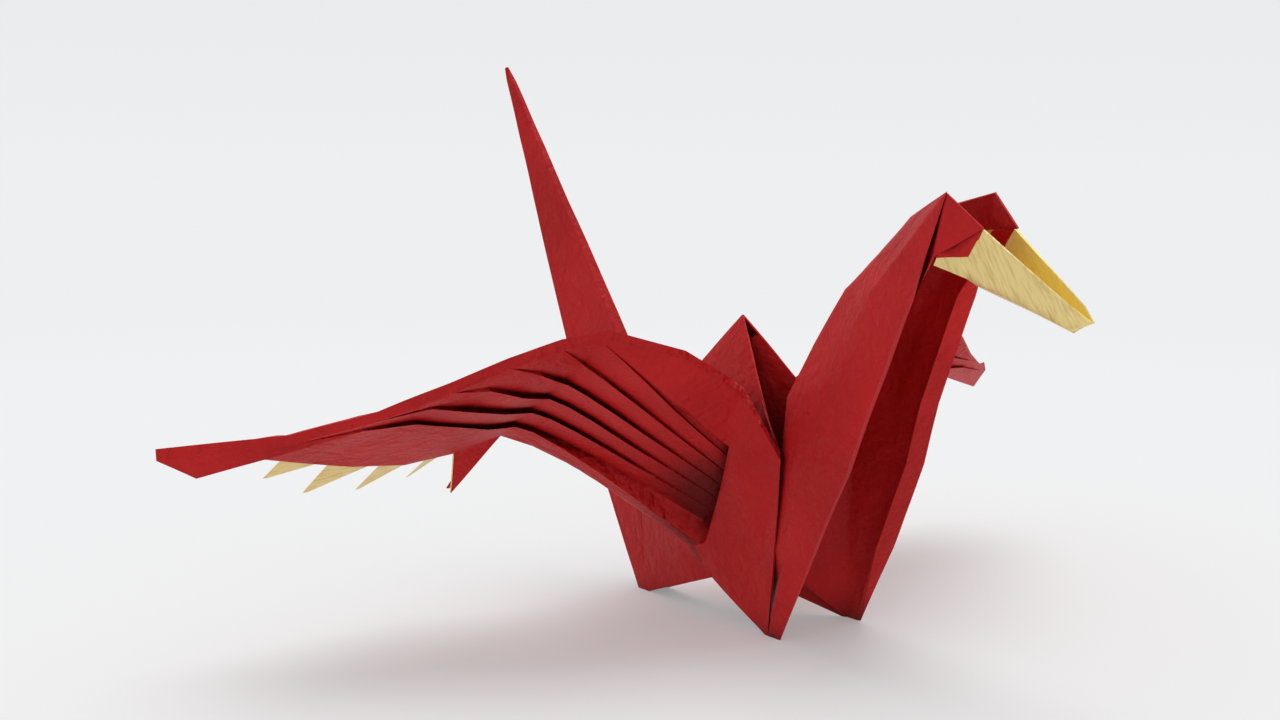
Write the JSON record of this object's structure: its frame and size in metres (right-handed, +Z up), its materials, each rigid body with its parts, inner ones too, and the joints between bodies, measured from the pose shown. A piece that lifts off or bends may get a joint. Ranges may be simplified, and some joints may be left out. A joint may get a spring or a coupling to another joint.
{
  "type": "origami crane",
  "caption": "Folded paper crane standing on three points of its open body, with pleated feathered wings, a hollow neck with a bent head and beak, and a long upright tail.",
  "frame": {"origin": "centre of the crane's overall box, at the level its feet stand on", "axes": "+X towards the beak, +Y towards the crane's left wing tip, +Z up"},
  "size_m": [0.1626, 0.2124, 0.11],
  "materials": {
    "paper": "matte"
  },
  "bodies": {
    "root": {"folded_sheet": "paper"}
  },
  "joints": []
}
